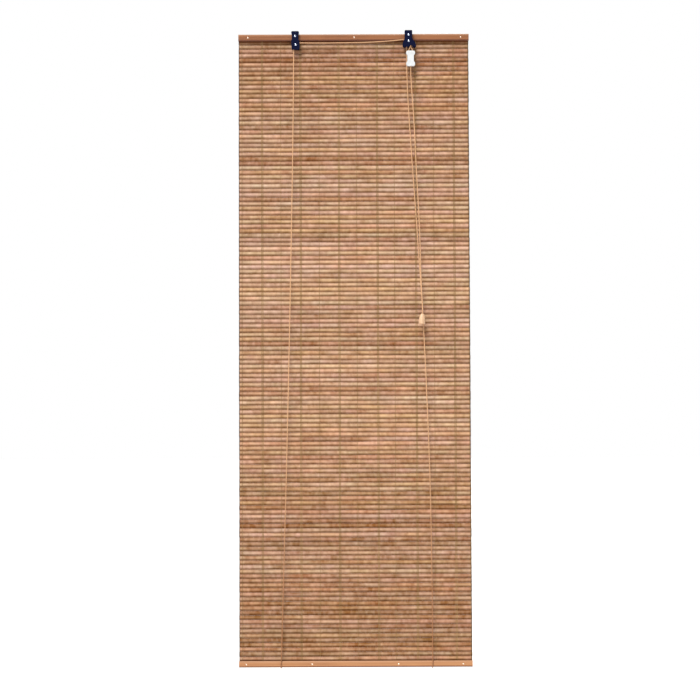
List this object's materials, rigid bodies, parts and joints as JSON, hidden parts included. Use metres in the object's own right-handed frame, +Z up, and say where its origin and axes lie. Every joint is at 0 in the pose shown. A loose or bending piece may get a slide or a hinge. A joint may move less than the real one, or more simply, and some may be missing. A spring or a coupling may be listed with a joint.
{
  "type": "bamboo roll up blind",
  "caption": "Hanging window blind of woven bamboo slats that rolls up on two lift cords with pulleys, a cord lock and a pull cord with a wooden tassel.",
  "frame": {"origin": "on the headrail's top face, midway between the two vertical screw holes that the blind hangs from", "axes": "+Z up, +X to the right of someone facing the blind, +Y towards the wall or window behind it; the patterned front with the cords faces -Y"},
  "size_m": [0.6, 0.0473, 1.648],
  "materials": {
    "headrail_wood": "stained reddish brown, satin",
    "bottom_rail_wood": "stained orange tan, satin",
    "nail_steel": "bright wire",
    "bright_steel": "polished",
    "navy_housing": "dark navy gloss",
    "wheel_plastic": "moulded",
    "roller_steel": "fluted",
    "bamboo": "scorched bamboo, satin",
    "warp_yarn": "twisted yarn",
    "cord_yarn": "braided cord",
    "connector_plastic": "white, glossy",
    "tassel_wood": "turned, satin"
  },
  "bodies": {
    "blind": {"headrail_front_batten": "headrail_wood", "headrail_back_batten": "headrail_wood", "bottom_rail_front_batten": "bottom_rail_wood", "bottom_rail_back_batten": "bottom_rail_wood", "headrail_nails": "nail_steel", "bottom_rail_nails": "nail_steel", "left_pulley_axle": "bright_steel", "left_pulley_screw": "bright_steel", "lock_axle": "bright_steel", "lock_screw": "bright_steel", "left_pulley_housing": "navy_housing", "cord_lock_housing": "navy_housing", "slats_01": "bamboo", "slats_02": "bamboo", "slats_03": "bamboo", "slats_04": "bamboo", "slats_05": "bamboo", "slats_06": "bamboo", "slats_07": "bamboo", "slats_08": "bamboo", "slats_09": "bamboo", "slats_10": "bamboo", "slats_11": "bamboo", "slats_12": "bamboo", "slats_13": "bamboo", "slats_14": "bamboo", "warp_thread_01": "warp_yarn", "warp_thread_02": "warp_yarn", "warp_thread_03": "warp_yarn", "warp_thread_04": "warp_yarn", "warp_thread_05": "warp_yarn", "warp_thread_06": "warp_yarn", "warp_thread_07": "warp_yarn", "warp_thread_08": "warp_yarn", "warp_thread_09": "warp_yarn", "warp_thread_10": "warp_yarn", "warp_thread_11": "warp_yarn", "warp_thread_12": "warp_yarn", "warp_thread_13": "warp_yarn", "lift_cord_left": "cord_yarn", "lift_cord_right": "cord_yarn", "pull_cord": "cord_yarn", "anchor_knot_left": "cord_yarn", "anchor_knot_right": "cord_yarn", "connector_knot_left": "cord_yarn", "connector_knot_right": "cord_yarn", "pull_cord_knot": "cord_yarn", "tassel_knot": "cord_yarn", "cord_connector": "connector_plastic", "tassel": "tassel_wood"},
    "left_pulley": {"left_pulley_wheel": "wheel_plastic"},
    "lock_pulley_rear": {"lock_pulley_rear": "wheel_plastic"},
    "lock_pulley_front": {"lock_pulley_front": "wheel_plastic"},
    "lock_roller": {"lock_roller": "roller_steel"}
  },
  "joints": [
    {"name": "left_pulley_spin", "type": "hinge", "parent": "blind", "child": "left_pulley", "pos_m": [-0.1502, -0.0227, -0.0292], "axis": [0, 1, 0], "continuous": true},
    {"name": "lock_pulley_rear_spin", "type": "hinge", "parent": "blind", "child": "lock_pulley_rear", "pos_m": [0.1432, -0.0227, -0.0211], "axis": [0, 1, 0], "continuous": true},
    {"name": "lock_pulley_front_spin", "type": "hinge", "parent": "blind", "child": "lock_pulley_front", "pos_m": [0.1432, -0.0273, -0.0211], "axis": [0, 1, 0], "continuous": true},
    {"name": "lock_roller_slide", "type": "slide", "parent": "blind", "child": "lock_roller", "axis": [-0.5, 0, 0.866], "range_m": [0, 0.0028]}
  ],
  "couplings": [
    {"joint": "lock_pulley_rear_spin", "follows": "left_pulley_spin", "ratio": 1},
    {"joint": "lock_pulley_front_spin", "follows": "left_pulley_spin", "ratio": 1}
  ]
}
